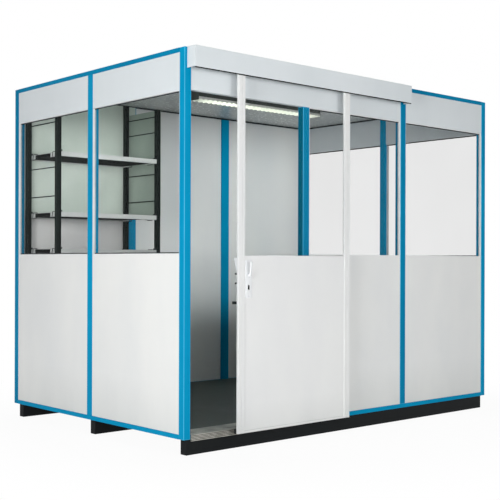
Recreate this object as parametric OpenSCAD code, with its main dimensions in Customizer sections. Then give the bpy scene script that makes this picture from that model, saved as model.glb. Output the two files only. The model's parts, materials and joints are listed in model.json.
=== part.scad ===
// Portable site cabin: a hollow cabin of light sandwich panels and glass in a profile frame,
// standing on three runners, with a sliding door hung outside the front wall.
// Millimetres. +Z up, the front wall faces -Y. The origin is on the ground under the middle
// of the whole cabin, door fittings included.

/* [Cabin] */
// Clear width of one front or back bay, between two posts
front_bay = 1007; // [830:1:1220]
// Clear width of one side bay, between two posts
side_bay = 1013; // [840:1:1220]
// Height of the walls, from the runners to the top of the roof
wall_h = 2500; // [2100:1:3000]
// Depth of the posts and rails, which is also the width of a corner post
frame_d = 54; // [45:1:66]
// Width of a post between two bays
post_w = 62; // [50:1:76]
// Height of a bottom or top rail
rail_h = 30; // [24:1:36]

/* [Walls] */
// Thickness of a wall panel
panel_t = 40; // [33:1:42]
// How far a wall panel lies back from the outer face of the frame
panel_recess = 3; // [2:0.5:4]
// Height of the lower panels' top edge above the runners
sill_h = 1182; // [980:1:1420]
// Height of the header panels above the windows
header_h = 240; // [200:1:300]
// Width of the glazing bead round a window
bead_w = 5; // [4:1:6]
// Depth of the glazing bead
bead_d = 18; // [15:1:22]
// Thickness of the window glass
glass_t = 5; // [4:0.5:6]

/* [Floor and roof] */
// Height of the runners
runner_h = 99; // [80:1:120]
// Width of a runner
runner_w = 60; // [48:1:72]
// How far the front runner reaches under the floor
runner_bearing = 6; // [4:1:12]
// Distance from the left wall to the left end of the front runner
runner_left = 21; // [10:1:40]
// Distance from the left wall to the left end of the other runners
inner_runner_left = 8; // [5:1:40]
// Distance from the right wall to the right end of the runners
runner_right = 60; // [10:1:80]
// Distance from the back wall to the back runner
runner_back_inset = 72; // [20:1:120]
// Thickness of the roof panel
roof_t = 20; // [16:1:24]

/* [Sliding door] */
// Thickness of the door leaf
leaf_t = 20; // [17:1:24]
// Distance from the wall to the back of the leaf
leaf_gap = 50; // [42:1:60]
// How far the closed leaf laps the corner post
lap_left = 24; // [20:1:28]
// How far the closed leaf laps the jamb post
lap_right = 45; // [36:1:52]
// How far the leaf stands open at rest
door_open = 367; // [300:1:440]
// Width of a door stile
stile_w = 57; // [46:1:64]
// Height of the door's bottom rail
door_bottom_rail = 16; // [13:1:20]
// Thickness of the door's lower panel
door_panel_t = 12; // [10:1:14]
// Height of the lower panel's top edge above the runners
door_panel_h = 1177; // [980:1:1420]
// Gap between the leaf's bottom edge and the top of the runners
door_ground_gap = 5; // [4:0.5:6]

/* [Door track] */
// Height of the track cover
cover_h = 135; // [115:1:160]
// Thickness of the track cover's sheet
cover_t = 2; // [1.5:0.5:2.5]
// Distance from the left wall to the end of the track cover
cover_left = 20; // [15:1:24]
// How far the track cover laps the second post
cover_lap = 35; // [30:1:42]
// Thickness of the rail that the rollers run on
track_t = 8; // [6:1:9]
// Height of the rail that the rollers run on
track_h = 30; // [25:1:36]
// Number of brackets between the rail and the wall
track_brackets = 5; // [4:1:8]
// Width of a rail bracket
bracket_w = 40; // [33:1:60]
// Height of a rail bracket
bracket_h = 18; // [15:1:20]
// Diameter of a door roller
roller_d = 36; // [30:1:43]
// Width of a door roller
roller_w = 12; // [10:1:13]
// Thickness of a hanger plate
hanger_t = 3; // [2.5:0.5:4]
// Width of a hanger plate
hanger_w = 60; // [50:1:72]

/* [Door fittings] */
// Height of the lever's axis above the runners
lever_h = 1045; // [880:1:1120]
// Distance from the leaf's leading edge to the lever's axis
lever_x = 89; // [86:1:105]
// Width of the handle plate
plate_w = 56; // [47:1:60]
// Length of the handle plate
plate_l = 252; // [210:1:300]
// How far the plate reaches above the lever's axis
plate_above = 102; // [85:1:122]
// Thickness of the handle plate
plate_t = 4; // [3:0.5:5]
// Length of the lever's grip, from its axis to its tip
lever_l = 88; // [74:1:100]
// Diameter of the spindle through the leaf
spindle_d = 9; // [8:0.5:10]
// Thickness of the lever's grip
lever_t = 9; // [7:1:11]
// How far the grip leans out towards its tip
lever_lean = 12; // [8:1:14]
// Diameter of the lever's round boss
boss_d = 22; // [18:1:26]
// Depth of the lever's boss
boss_l = 12; // [10:1:14]
// Width of the lever's neck
neck_w = 12; // [10:1:14]
// Width of the key slot
key_w = 15; // [12:1:18]
// Distance between the centres of the key slot's round ends
key_h = 19; // [16:1:23]
// Distance from the lever's axis down to the middle of the key slot
key_drop = 80; // [66:1:92]
// Width of the pull wedge on the back of the leading stile
pull_w = 30; // [25:1:40]
// Height of the pull wedge
pull_h = 89; // [74:1:107]
// How far the pull wedge stands out at its top
pull_out = 28; // [23:1:34]
// Height of the pull wedge's foot above the lever's axis
pull_rise = 25; // [20:1:30]
// Diameter of a lock stud
stud_d = 12; // [10:1:14]
// How far a lock stud stands out
stud_l = 20; // [16:1:24]
// Thickness of the stop bar
stop_w = 18; // [15:1:22]
// Distance from the lever's axis down to the stop bar's underside
stop_drop = 191; // [160:1:230]
// Width and height of the bottom guide block
guide_w = 30; // [25:1:36]
// How far the bottom guide block stands out
guide_l = 20; // [16:1:22]

/* [Sill] */
// How far the sill's ribbed face stands out in front of the wall's frame
sill_out = 8; // [7:0.5:10]
// How far the ribbed face hangs below the runners' top
sill_drop = 11; // [9:1:13]
// Height of one rib on the sill's face
rib_w = 5; // [4:0.5:6]
// Height of the groove between two ribs
groove_w = 4; // [3:0.5:5]
// Depth of the grooves
groove_d = 3; // [2:0.5:4]

/* [Light] */
// Length of the ceiling light
light_l = 1350; // [1150:1:1600]
// Width of the ceiling light
light_w = 120; // [100:1:144]
// Height of the light's housing
light_h = 60; // [50:1:72]
// Height of the light's louvre
louvre_h = 25; // [21:1:30]
// Thickness of the louvre's sides and blades
louvre_t = 2; // [1.5:0.5:2.5]
// Number of cross blades in the louvre
louvre_blades = 10; // [8:1:16]

/* [Shelving] */
// Length of a shelf, between the two ladder frames
shelf_l = 900; // [750:1:1100]
// Depth of the shelving unit
shelving_d = 488; // [410:1:580]
// Gap between the ceiling and the top of the ladder frames' front uprights and rungs
ladder_gap = 90; // [60:1:200]
// Gap between the ceiling and the top of the back uprights and the back sheet
back_gap = 8; // [5:1:20]
// Width of a ladder upright
upright_w = 40; // [33:1:48]
// Depth of a ladder upright
upright_d = 35; // [29:1:42]
// Thickness of a shelf
shelf_t = 36; // [30:1:44]
// Diameter of a ladder rung
rung_d = 8; // [6:1:10]
// Thickness of the steel back sheet and side sheet
sheet_t = 2; // [1.5:0.5:3]
// How far the back sheet reaches past the right ladder frame
sheet_over = 90; // [75:1:108]
// Gap between the shelving unit's back sheet and the back posts
shelving_gap = 2; // [1:0.5:12]
// Gap between the left wall's frame and the shelving unit
shelving_left = 4; // [2:0.5:30]

/* [Hidden] */
$fn = 48;

// Running gap between pieces that bear on each other and move.
seat_gap = 0.3;
// Free space round what moves past something.
run_gap = 5;

// Overall sizes and the planes that the pieces share.
cabin_w = 2 * frame_d + 3 * front_bay + 2 * post_w;
cabin_d = 2 * frame_d + 2 * side_bay + post_w;
leaf_front = leaf_gap + leaf_t;
panel_step = (leaf_t - door_panel_t) / 2;
plate_front = leaf_front - panel_step + plate_t;
plate_back = leaf_gap + panel_step - plate_t;
lever_reach = boss_l + lever_t + lever_lean;
front_reach = max(
  plate_front + seat_gap + lever_reach,
  leaf_front + hanger_t + run_gap + cover_t
);
x_left = -cabin_w / 2;
y_front = (front_reach - cabin_d) / 2;
z_frame = runner_h;
z_top = z_frame + wall_h;
z_rail = z_frame + rail_h;
z_under = z_top - rail_h;
z_sill = z_frame + sill_h;
z_head = z_under - header_h;

// Left edges of the front bays and side bays, from the cabin's left and front faces.
front_bays = [for (i = [0:2]) frame_d + i * (front_bay + post_w)];
side_bays = [for (i = [0:1]) frame_d + i * (side_bay + post_w)];

// The door leaf at rest.
leaf_w = front_bay + lap_left + lap_right;
leaf_x = frame_d - lap_left + door_open;
z_leaf = z_frame + door_ground_gap;
z_door_panel = z_frame + door_panel_h;
z_cover = z_top - cover_h;
z_door_rail = z_cover + run_gap;
roller_z = z_top - cover_t - run_gap - roller_d / 2;
roller_y = leaf_front - hanger_t - roller_w / 2;
z_track = roller_z - roller_d / 2 - seat_gap - track_h;
z_leaf_top = z_track - run_gap;
z_lever = z_frame + lever_h;
cover_d = leaf_front + hanger_t + run_gap + cover_t;
cover_right = front_bays[2] - post_w + cover_lap;
stop_l = leaf_gap - run_gap - 1;
runner_front = frame_d + runner_bearing - runner_w;
sill_back = min(0, runner_front);
pin_gap = 0.5;
glass_back = panel_recess + bead_d;

// The light hangs under the middle of the roof panel: low corner of its housing.
light_x = (cabin_w - light_l) / 2;
light_y = (cabin_d - light_w) / 2;
z_light = z_top - roof_t - light_h;

// The shelving unit's own planes.
ladder_x = frame_d + shelving_left;
shelf_x = ladder_x + upright_w;
unit_back = cabin_d - frame_d - shelving_gap - sheet_t;
unit_front = unit_back - shelving_d;
ladder_h = z_top - roof_t - ladder_gap - z_rail;
back_h = z_top - roof_t - back_gap - z_rail;

// Levels above the floor. Those high up keep their distance from the top of the ladder frames.
low_shelf_levels = [120, 660];
shelf_drops = [1198, 913, 449];
shelf_levels = concat(low_shelf_levels, [for (drop = shelf_drops) ladder_h - drop]);
low_rung_levels = [400, 900];
rung_drops = [754, 532, 185, 55];
rung_levels = concat(low_rung_levels, [for (drop = rung_drops) ladder_h - drop]);
sheet_level = shelf_levels[3] + shelf_t;

// Heights of the two lock studs, from the lever's axis.
stud_levels = [9, -53];

// Moves what is drawn from the cabin's front left bottom corner to its place.
module placed() {
  translate([x_left, y_front, 0])
    children();
}

// A box from its low corner and its size, in the placed frame.
module block(low, size) {
  placed()
    translate(low)
      cube(size);
}

// ---- Base and floor

// Three bearers along the cabin's length, each from its own left end to one right end.
module runners() {
  back_y = cabin_d - runner_back_inset - runner_w;
  middle_y = (runner_front + back_y) / 2;
  color("#1c2423")
    for (at = [[runner_left, runner_front], [inner_runner_left, middle_y], [inner_runner_left, back_y]])
      block([at[0], at[1], 0], [cabin_w - runner_right - at[0], runner_w, runner_h]);
}

module floor_deck() {
  color("#3c463d")
    block([frame_d, frame_d, z_frame], [cabin_w - 2 * frame_d, cabin_d - 2 * frame_d, rail_h]);
}

// The four sides' rails at one height. The front one starts at front_x.
module rail_ring(z, front_x) {
  color("#0087b9") {
    block([front_x, 0, z], [cabin_w - frame_d - front_x, frame_d, rail_h]);
    block([frame_d, cabin_d - frame_d, z], [cabin_w - 2 * frame_d, frame_d, rail_h]);
    for (x = [0, cabin_w - frame_d])
      block([x, frame_d, z], [frame_d, cabin_d - 2 * frame_d, rail_h]);
  }
}

module bottom_rails() {
  rail_ring(z_frame, front_bays[0] + front_bay + post_w);
}

module top_rails() {
  rail_ring(z_under, frame_d);
}

// Turns an outline drawn as (distance from the front face, height) into a bar along X.
module bar_along_x(from_x, to_x) {
  placed()
    translate([from_x, 0, 0])
      rotate([90, 0, 90])
        linear_extrude(to_x - from_x)
          children();
}

// The sill's section: a bar level with the floor, and a ribbed face that hangs in front of the runner.
module sill_section() {
  translate([sill_back, z_frame])
    square([frame_d - sill_back, rail_h]);
  translate([sill_back - sill_out, z_frame - sill_drop])
    difference() {
      square([sill_out, sill_drop + rail_h]);
      for (z = [rib_w : rib_w + groove_w : sill_drop + rail_h - rib_w - groove_w])
        translate([0, z])
          square([groove_d, groove_w]);
    }
}

// The sill fills the doorway between the posts.
module door_sill() {
  color("#8f8f89")
    bar_along_x(front_bays[0], front_bays[0] + front_bay)
      sill_section();
}

module roof_panel() {
  color("#e6e8e8")
    block([frame_d, frame_d, z_top - roof_t], [cabin_w - 2 * frame_d, cabin_d - 2 * frame_d, roof_t]);
}

// ---- Posts

// One upright of the frame between two heights, with its low corner at x, y.
module post(x, y, size, low, high) {
  color("#0087b9")
    block([x, y, low], [size[0], size[1], high - low]);
}

// The two corner posts at one end of the side walls.
module corner_posts(y) {
  for (x = [0, cabin_w - frame_d])
    post(x, y, [frame_d, frame_d], z_frame, z_top);
}

module front_corner_posts() {
  corner_posts(0);
}

module back_corner_posts() {
  corner_posts(cabin_d - frame_d);
}

// The door's jamb post ends under the header, the next post runs up to the top rail.
module front_posts() {
  post(front_bays[1] - post_w, 0, [post_w, frame_d], z_frame, z_head);
  post(front_bays[2] - post_w, 0, [post_w, frame_d], z_rail, z_under);
}

module side_posts() {
  for (x = [0, cabin_w - frame_d])
    post(x, side_bays[1] - post_w, [frame_d, post_w], z_rail, z_under);
}

module back_posts() {
  for (i = [1, 2])
    post(front_bays[i] - post_w, cabin_d - frame_d, [post_w, frame_d], z_rail, z_under);
}

// ---- Wall panels, window frames and glass

// Sheets of one thickness in the side wall's bays, at a depth behind the outer face.
module side_sheets(right, depth, thick, low, high) {
  x = right ? cabin_w - depth - thick : depth;
  for (y = side_bays)
    block([x, y, low], [thick, side_bay, high - low]);
}

// A sheet in the front wall from one x to another, at a depth behind the outer face.
module front_sheet(from_x, to_x, depth, thick, low, high) {
  block([from_x, depth, low], [to_x - from_x, thick, high - low]);
}

module back_panels() {
  color("#e2e6e6")
    for (x = front_bays)
      block([x, cabin_d - panel_recess - panel_t, z_rail], [front_bay, panel_t, z_under - z_rail]);
}

module left_lower_panels() {
  color("#edeeeb")
    side_sheets(false, panel_recess, panel_t, z_rail, z_sill);
}

module right_lower_panels() {
  color("#edeeeb")
    side_sheets(true, panel_recess, panel_t, z_rail, z_sill);
}

module front_lower_panels() {
  color("#edeeeb")
    for (i = [1, 2])
      front_sheet(front_bays[i], front_bays[i] + front_bay, panel_recess, panel_t, z_rail, z_sill);
}

module left_headers() {
  color("#e6e8e8")
    side_sheets(false, panel_recess, panel_t, z_head, z_under);
}

module right_headers() {
  color("#e6e8e8")
    side_sheets(true, panel_recess, panel_t, z_head, z_under);
}

// One header runs over the door and the next window, the other closes the last bay.
module front_headers() {
  color("#e6e8e8") {
    front_sheet(front_bays[0], front_bays[1] + front_bay, panel_recess, panel_t, z_head, z_under);
    front_sheet(front_bays[2], front_bays[2] + front_bay, panel_recess, panel_t, z_head, z_under);
  }
}

// A flat ring round one window, in its own plane: width along x, height along y.
module bead_outline(width) {
  difference() {
    square([width, z_head - z_sill]);
    translate([bead_w, bead_w])
      square([width - 2 * bead_w, z_head - z_sill - 2 * bead_w]);
  }
}

// Beads round the windows of one side wall, proud of the glass on its outer side.
module side_window_frames(right) {
  x = right ? cabin_w - panel_recess - bead_d : panel_recess;
  color("#f2f4f4")
    for (y = side_bays)
      placed()
        translate([x, y, z_sill])
          rotate([90, 0, 90])
            linear_extrude(bead_d)
              bead_outline(side_bay);
}

module left_window_frames() {
  side_window_frames(false);
}

module right_window_frames() {
  side_window_frames(true);
}

module front_window_frames() {
  color("#f2f4f4")
    for (i = [1, 2])
      placed()
        translate([front_bays[i], panel_recess + bead_d, z_sill])
          rotate([90, 0, 0])
            linear_extrude(bead_d)
              bead_outline(front_bay);
}

module left_glass() {
  color("#dfe9ea", 0.3)
    side_sheets(false, glass_back, glass_t, z_sill, z_head);
}

module right_glass() {
  color("#dfe9ea", 0.3)
    side_sheets(true, glass_back, glass_t, z_sill, z_head);
}

module front_glass() {
  color("#dfe9ea", 0.3)
    for (i = [1, 2])
      front_sheet(front_bays[i], front_bays[i] + front_bay, glass_back, glass_t, z_sill, z_head);
}

// ---- Door track and its cover

// The cover is a sheet box, open below and behind: front, top and two ends.
module track_cover_front() {
  color("#e9ebeb")
    block([cover_left, -cover_d, z_cover], [cover_right - cover_left, cover_t, cover_h]);
}

module track_cover_top() {
  color("#e9ebeb")
    block(
      [cover_left, cover_t - cover_d, z_top - cover_t],
      [cover_right - cover_left, cover_d - cover_t, cover_t]
    );
}

module track_cover_ends() {
  color("#e9ebeb")
    for (x = [cover_left, cover_right - cover_t])
      block([x, cover_t - cover_d, z_cover], [cover_t, cover_d - cover_t, cover_h - cover_t]);
}

// A flat rail on edge: the door's rollers run along its top.
module door_track() {
  color("#a9adae")
    block(
      [cover_left + 2 * cover_t, -roller_y - track_t / 2, z_track],
      [cover_right - cover_left - 4 * cover_t, track_t, track_h]
    );
}

// Blocks that hold the rail off the header panel.
module track_brackets() {
  span = front_bays[1] + front_bay - front_bays[0] - 3 * bracket_w;
  color("#a9adae")
    for (i = [0 : track_brackets - 1])
      block(
        [front_bays[0] + bracket_w + i * span / (track_brackets - 1), track_t / 2 - roller_y, z_track],
        [bracket_w, roller_y - track_t / 2 + panel_recess, bracket_h]
      );
}

// ---- Door leaf

// A box in the leaf, from its leading edge, its front face and the leaf's bottom edge.
module leaf_block(low, size) {
  block([leaf_x + low[0], low[1] - leaf_front, z_leaf + low[2]], size);
}

module door_stiles() {
  color("#dee0e4")
    for (x = [0, leaf_w - stile_w])
      leaf_block([x, 0, 0], [stile_w, leaf_t, z_leaf_top - z_leaf]);
}

module door_rails() {
  color("#e1e2e1") {
    leaf_block([stile_w, 0, 0], [leaf_w - 2 * stile_w, leaf_t, door_bottom_rail]);
    leaf_block(
      [stile_w, 0, z_door_rail - z_leaf],
      [leaf_w - 2 * stile_w, leaf_t, z_leaf_top - z_door_rail]
    );
  }
}

// The key slot's outline, an oblong below the lever's axis.
module key_outline() {
  translate([0, -key_drop]) {
    for (y = [-key_h / 2, key_h / 2])
      translate([0, y])
        circle(d = key_w);
    translate([-key_w / 2, -key_h / 2])
      square([key_w, key_h]);
  }
}

// An outline round the lever's axis made into a bar from one distance off the wall to another.
module bar_through_leaf(from_y, to_y) {
  placed()
    translate([leaf_x + lever_x, -from_y, z_lever])
      rotate([90, 0, 0])
        linear_extrude(to_y - from_y)
          children();
}

module door_panel() {
  color("#e1e2e1")
    difference() {
      leaf_block(
        [stile_w, (leaf_t - door_panel_t) / 2, door_bottom_rail],
        [leaf_w - 2 * stile_w, door_panel_t, z_door_panel - z_leaf - door_bottom_rail]
      );
      bar_through_leaf(0, 2 * leaf_front) {
        circle(d = spindle_d + 2 * pin_gap);
        key_outline();
      }
    }
}

module door_glass() {
  color("#dfe9ea", 0.3)
    leaf_block(
      [stile_w, (leaf_t - glass_t) / 2, z_door_panel - z_leaf],
      [leaf_w - 2 * stile_w, glass_t, z_door_rail - z_door_panel]
    );
}

// A plate on the front of the top rail carries one roller on a short axle over the track.
module hanger(x) {
  placed()
    translate([x, -leaf_front, 0]) {
      translate([-hanger_w / 2, -hanger_t, z_door_rail + 2])
        cube([hanger_w, hanger_t, roller_z + roller_d / 4 - z_door_rail - 2]);
      translate([0, 0, roller_z])
        rotate([-90, 0, 0]) {
          cylinder(d = roller_d / 3, h = hanger_t + roller_w);
          translate([0, 0, hanger_t])
            cylinder(d = roller_d, h = roller_w);
        }
    }
}

module door_hangers() {
  color("#b4b8ba")
    for (x = [2 * hanger_w, leaf_w - 2 * hanger_w])
      hanger(leaf_x + x);
}

// A wedge on the back of the leading stile, thickest at its top.
module door_pull() {
  color("#dfe9ea")
    placed()
      translate([leaf_x, -leaf_gap, z_lever + pull_rise])
        rotate([90, 0, 90])
          linear_extrude(pull_w)
            polygon([[0, 0], [0, pull_h], [pull_out, pull_h], [1, 0]]);
}

// Black fittings on the back of the leading stile: lock studs, a stop bar and a bottom guide.
module door_buffers() {
  color("#1b2224") {
    for (z = stud_levels)
      placed()
        translate([leaf_x + stud_d / 2 + 1, -leaf_gap, z_lever + z])
          rotate([-90, 0, 0])
            cylinder(d = stud_d, h = stud_l);
    block([leaf_x, -leaf_gap, z_lever - stop_drop], [stop_w, stop_l, stop_w]);
    block([leaf_x, -leaf_gap, z_leaf], [guide_w, guide_l, guide_w]);
  }
}

// ---- Handle

// A plate's outline with a round spindle hole and an oblong key slot, axis at the origin.
module plate_outline() {
  difference() {
    translate([-plate_w / 2, plate_above - plate_l])
      square([plate_w, plate_l]);
    circle(d = spindle_d + 2 * pin_gap);
    key_outline();
  }
}

module handle_plates() {
  color("#e4e6ea")
    for (y = [plate_front - plate_t, plate_back])
      bar_through_leaf(y, y + plate_t)
        plate_outline();
}

// The lock fills the key slot through both plates and the leaf.
module lock_cylinder() {
  color("#1b2224")
    bar_through_leaf(plate_back, plate_front)
      key_outline();
}

// A grip that rises from the axis, leans out and widens towards its tip.
module grip() {
  intersection() {
    rotate([90, 0, 90])
      translate([0, 0, -boss_d])
        linear_extrude(2 * boss_d)
          polygon([
            [0, -boss_d / 2], [-lever_t, -boss_d / 2],
            [-lever_t - lever_lean, lever_l], [-lever_lean, lever_l]
          ]);
    rotate([90, 0, 0])
      linear_extrude(lever_t + lever_lean) {
        circle(d = boss_d);
        polygon([
          [-neck_w / 2, 0], [neck_w / 2, 0],
          [boss_d / 2, lever_l], [-boss_d / 2, lever_l]
        ]);
      }
  }
}

// A boss on the plate, sunk into the foot of its grip, pointing towards -Y.
module lever_side() {
  translate([0, -seat_gap, 0])
    rotate([90, 0, 0])
      cylinder(d = boss_d, h = boss_l + lever_t / 2);
  translate([0, -seat_gap - boss_l, 0])
    grip();
}

// Both grips on the spindle that passes through the leaf.
module lever() {
  color("#eceef0")
    placed()
      translate([leaf_x + lever_x, 0, z_lever]) {
        translate([0, -plate_front, 0])
          lever_side();
        translate([0, -plate_back, 0])
          mirror([0, 1, 0])
            lever_side();
        translate([0, boss_l / 2 - plate_back, 0])
          rotate([90, 0, 0])
            cylinder(d = spindle_d, h = plate_front - plate_back + boss_l);
      }
}

// ---- Ceiling light

module light_housing() {
  color("#5c625e")
    block([light_x, light_y, z_light], [light_l, light_w, light_h]);
}

// An open frame with cross blades, under the housing.
module light_louvre() {
  pitch = (light_l - louvre_t) / (louvre_blades + 1);
  z = z_light - louvre_h;
  color("#f4f6f2") {
    for (y = [0, light_w - louvre_t])
      block([light_x, light_y + y, z], [light_l, louvre_t, louvre_h]);
    for (i = [0 : louvre_blades + 1])
      block([light_x + i * pitch, light_y, z], [louvre_t, light_w, louvre_h]);
  }
}

// ---- Shelving

// The back uprights reach nearly to the ceiling, the front ones end lower.
module shelving_uprights() {
  color("#2a3532")
    for (x = [ladder_x, shelf_x + shelf_l]) {
      block([x, unit_front, z_rail], [upright_w, upright_d, ladder_h]);
      block([x, unit_back - upright_d, z_rail], [upright_w, upright_d, back_h]);
    }
}

// Round rungs between the uprights of each ladder frame.
module shelving_rungs() {
  color("#2a3532")
    for (x = [ladder_x, shelf_x + shelf_l])
      for (level = rung_levels)
        placed()
          translate([x + upright_w / 2, unit_back - upright_d, z_rail + level])
            rotate([90, 0, 0])
              cylinder(d = rung_d, h = shelving_d - 2 * upright_d);
}

module shelves() {
  color("#dfe2e0")
    for (level = shelf_levels)
      block([shelf_x, unit_front, z_rail + level], [shelf_l, shelving_d, shelf_t]);
}

// A back sheet behind the uprights, and a side sheet on the right ladder frame.
module shelving_sheets() {
  color("#95a398") {
    block(
      [ladder_x, unit_back, z_rail + sheet_level],
      [shelf_l + 2 * upright_w + sheet_over, sheet_t, back_h - sheet_level]
    );
    block(
      [shelf_x + shelf_l + upright_w, unit_front, z_rail + sheet_level],
      [sheet_t, shelving_d - upright_d, ladder_h - sheet_level]
    );
  }
}

runners();
floor_deck();
bottom_rails();
door_sill();
front_corner_posts();
back_corner_posts();
front_posts();
side_posts();
back_posts();
top_rails();
roof_panel();
back_panels();
left_lower_panels();
right_lower_panels();
front_lower_panels();
left_headers();
right_headers();
front_headers();
left_window_frames();
right_window_frames();
front_window_frames();
left_glass();
right_glass();
front_glass();
track_cover_front();
track_cover_top();
track_cover_ends();
door_track();
track_brackets();
door_stiles();
door_rails();
door_panel();
door_glass();
door_hangers();
door_pull();
door_buffers();
handle_plates();
lock_cylinder();
lever();
light_housing();
light_louvre();
shelving_uprights();
shelving_rungs();
shelves();
shelving_sheets();
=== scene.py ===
# Portable site cabin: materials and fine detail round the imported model.
import json
import math

import bmesh
import bpy
from mathutils import Matrix, Vector


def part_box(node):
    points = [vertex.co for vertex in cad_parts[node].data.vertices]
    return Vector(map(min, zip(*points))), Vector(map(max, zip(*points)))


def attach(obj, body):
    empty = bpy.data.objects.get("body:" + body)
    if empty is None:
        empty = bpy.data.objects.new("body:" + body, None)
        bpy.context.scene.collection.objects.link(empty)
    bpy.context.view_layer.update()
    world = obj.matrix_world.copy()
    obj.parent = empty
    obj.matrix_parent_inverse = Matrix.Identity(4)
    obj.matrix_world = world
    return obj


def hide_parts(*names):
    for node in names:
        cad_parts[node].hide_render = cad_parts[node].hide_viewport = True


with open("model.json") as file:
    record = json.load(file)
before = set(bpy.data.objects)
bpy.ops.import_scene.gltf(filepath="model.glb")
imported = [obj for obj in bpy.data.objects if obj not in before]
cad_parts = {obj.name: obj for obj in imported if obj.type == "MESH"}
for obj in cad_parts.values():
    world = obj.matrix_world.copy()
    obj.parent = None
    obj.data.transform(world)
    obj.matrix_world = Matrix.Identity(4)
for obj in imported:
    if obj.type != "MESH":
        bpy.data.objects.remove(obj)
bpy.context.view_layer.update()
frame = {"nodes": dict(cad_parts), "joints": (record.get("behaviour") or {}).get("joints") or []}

nodes = frame["nodes"]
mm = 0.001
print("model loaded:", len(nodes), "nodes")


def toLinear(hexText):
    channels = [int(hexText[i:i + 2], 16) / 255 for i in (1, 3, 5)]
    return [c / 12.92 if c <= 0.04045 else ((c + 0.055) / 1.055) ** 2.4 for c in channels] + [1.0]


def addNode(mat, kind, inputs=None, **settings):
    # an input is a number, a colour, another node, or a pair of node and output
    node = mat.node_tree.nodes.new("ShaderNode" + kind)
    for name, value in settings.items():
        setattr(node, name, value)
    for name, value in (inputs or {}).items():
        if isinstance(value, bpy.types.Node):
            value = value.outputs[0]
        elif isinstance(value, tuple) and isinstance(value[0], bpy.types.Node):
            value = value[0].outputs[value[1]]
        if isinstance(value, bpy.types.NodeSocket):
            mat.node_tree.links.new(value, node.inputs[name])
        else:
            node.inputs[name].default_value = value
    return node


def startMaterial(name):
    # every pattern is placed in the object's own metres
    mat = bpy.data.materials.new(name)
    mat.use_nodes = True
    mat.node_tree.nodes.clear()
    return mat, (addNode(mat, "TexCoord"), "Object")


def perMetre(sizeMm):
    # noise scale for blobs about sizeMm across, as the pattern has two to a unit
    return 1000.0 / 2 / sizeMm


# Shapes shared by many pieces

def solidBoxes(name):
    # low and high corner of each separate solid in a CAD node, from left to right
    mesh = nodes[name].data
    keys = [tuple(round(c, 5) for c in v.co) for v in mesh.vertices]
    home = {key: key for key in keys}

    def find(key):
        while home[key] != key:
            home[key] = home[home[key]]
            key = home[key]
        return key

    for face in mesh.polygons:
        first = find(keys[face.vertices[0]])
        for index in face.vertices[1:]:
            home[find(keys[index])] = first
    groups = {}
    for key in home:
        groups.setdefault(find(key), []).append(key)
    boxes = [
        (Vector([min(p[i] for p in g) for i in range(3)]), Vector([max(p[i] for p in g) for i in range(3)]))
        for g in groups.values()
    ]
    return sorted(boxes, key=lambda b: tuple(round(c, 4) for c in b[0]))


def addBlock(form, low, high):
    corners = [
        form.verts.new((x, y, z))
        for z in (low[2], high[2]) for y in (low[1], high[1]) for x in (low[0], high[0])
    ]
    for ring in ((0, 1, 3, 2), (4, 5, 7, 6), (0, 1, 5, 4), (2, 3, 7, 6), (0, 2, 6, 4), (1, 3, 7, 5)):
        form.faces.new([corners[i] for i in ring])


def addLoft(form, rings, closed=True):
    # skins a row of rings that hold equally many points
    made = [[form.verts.new(p) for p in ring] for ring in rings]
    count = len(made[0])
    for a, b in zip(made, made[1:]):
        for i in range(count):
            j = (i + 1) % count
            form.faces.new((a[i], a[j], b[j], b[i]))
    if closed:
        form.faces.new(made[0])
        form.faces.new(list(reversed(made[-1])))


def addBar(form, outline, place, start, end):
    # outline is a closed list of 2-D points, place(u, v, w) turns one into a position
    addLoft(form, [[place(u, v, w) for u, v in outline] for w in (start, end)])


def addTube(form, start, end, radius, sides=20):
    axis = Vector(end) - Vector(start)
    turn = axis.to_track_quat("Z", "Y").to_matrix().to_4x4()
    bmesh.ops.create_cone(
        form, cap_ends=True, segments=sides, radius1=radius, radius2=radius, depth=axis.length,
        matrix=Matrix.Translation((Vector(start) + Vector(end)) / 2) @ turn,
    )


def roundedOutline(low, high, radius, steps=5):
    points = []
    for cx, cy, start in (
        (high[0] - radius, high[1] - radius, 0), (low[0] + radius, high[1] - radius, 90),
        (low[0] + radius, low[1] + radius, 180), (high[0] - radius, low[1] + radius, 270),
    ):
        for i in range(steps + 1):
            a = math.radians(start + 90 * i / steps)
            points.append((cx + radius * math.cos(a), cy + radius * math.sin(a)))
    return points


softening = {"weldMm": 0.01, "sharpAngle": 35}


def softenEdges(piece, edgeMm, segments=2, weld=False):
    if weld:
        join = piece.modifiers.new("weld", "WELD")
        join.merge_threshold = softening["weldMm"] * mm
    bevel = piece.modifiers.new("edges", "BEVEL")
    bevel.width = edgeMm * mm
    bevel.segments = segments
    bevel.limit_method = "ANGLE"
    bevel.angle_limit = math.radians(softening["sharpAngle"])
    normals = piece.modifiers.new("normals", "WEIGHTED_NORMAL")
    normals.keep_sharp = False


def dress(names, material, edgeMm=0.0, segments=2, edgeMaterial=None):
    # CAD nodes keep their mesh and get a finish and softened edges, which may have a finish of their own
    for name in names:
        piece = nodes[name]
        piece.data.materials.clear()
        piece.data.materials.append(material)
        if edgeMm:
            softenEdges(piece, edgeMm, segments, weld=True)
        if edgeMaterial:
            piece.data.materials.append(edgeMaterial)
            piece.modifiers["edges"].material = 1


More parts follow.
